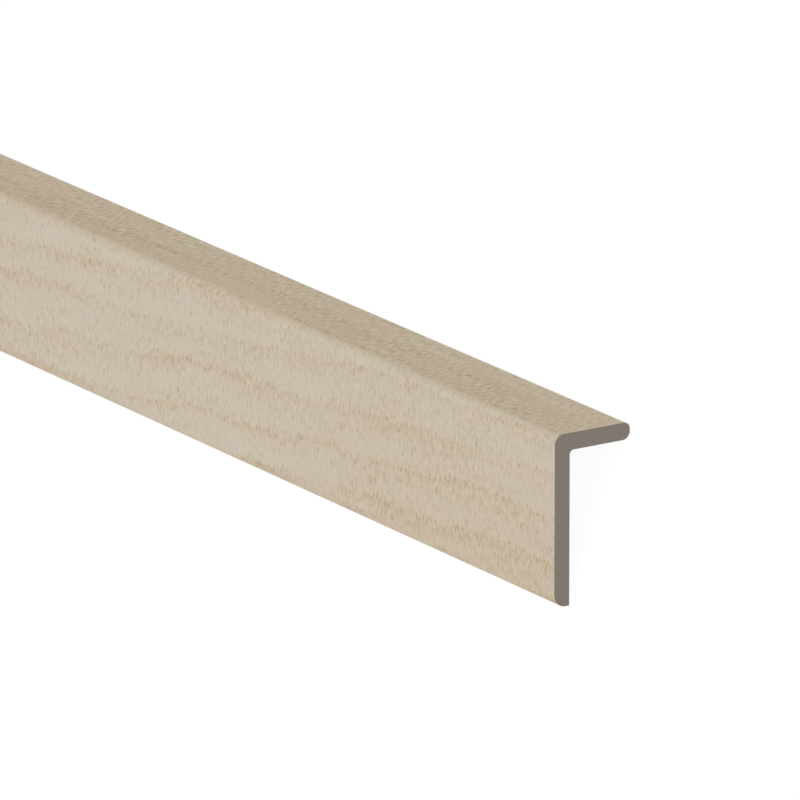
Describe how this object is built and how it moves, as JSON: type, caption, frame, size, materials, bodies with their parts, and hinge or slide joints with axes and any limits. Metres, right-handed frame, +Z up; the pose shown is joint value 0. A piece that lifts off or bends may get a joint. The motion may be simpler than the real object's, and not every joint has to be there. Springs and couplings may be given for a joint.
{
  "type": "l-shaped floor trim",
  "caption": "Straight L-section floor trim with one long and one short leg, rounded outer edges, a pale wood-print face and a grey core, for covering a step or floor edge.",
  "frame": {"origin": "middle of the footprint, on the floor the trim lies on", "axes": "+X along the length, +Z up; the trim lies good side up on the edges of its two legs, the long leg sloping down to -Y and the short leg steep on the +Y side"},
  "size_m": [0.9, 0.054, 0.0233],
  "materials": {
    "wood_print_pvc": "matte"
  },
  "bodies": {
    "root": {"l_profile": "wood_print_pvc"}
  },
  "joints": []
}
